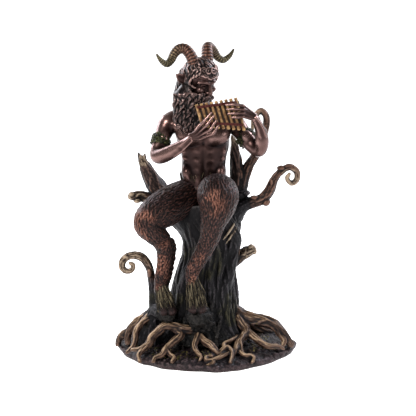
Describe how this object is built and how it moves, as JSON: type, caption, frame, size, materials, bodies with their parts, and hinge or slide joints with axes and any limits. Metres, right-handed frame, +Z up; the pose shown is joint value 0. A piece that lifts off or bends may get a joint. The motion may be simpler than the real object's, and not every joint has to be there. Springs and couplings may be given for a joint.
{
  "type": "pan figurine",
  "caption": "Cast figurine of a seated horned goat-legged god playing pipes on a tree stump with curling branches and spreading roots.",
  "frame": {"origin": "middle of the flat underside of the base, on the surface it stands on", "axes": "+Z up, -Y towards the viewer the figure faces, +X to that viewer's right"},
  "size_m": [0.1383, 0.1093, 0.2299],
  "materials": {
    "bronze_resin": "dark bronze, satin, dry-brushed"
  },
  "bodies": {
    "root": {"pan_figurine": "bronze_resin"}
  },
  "joints": []
}
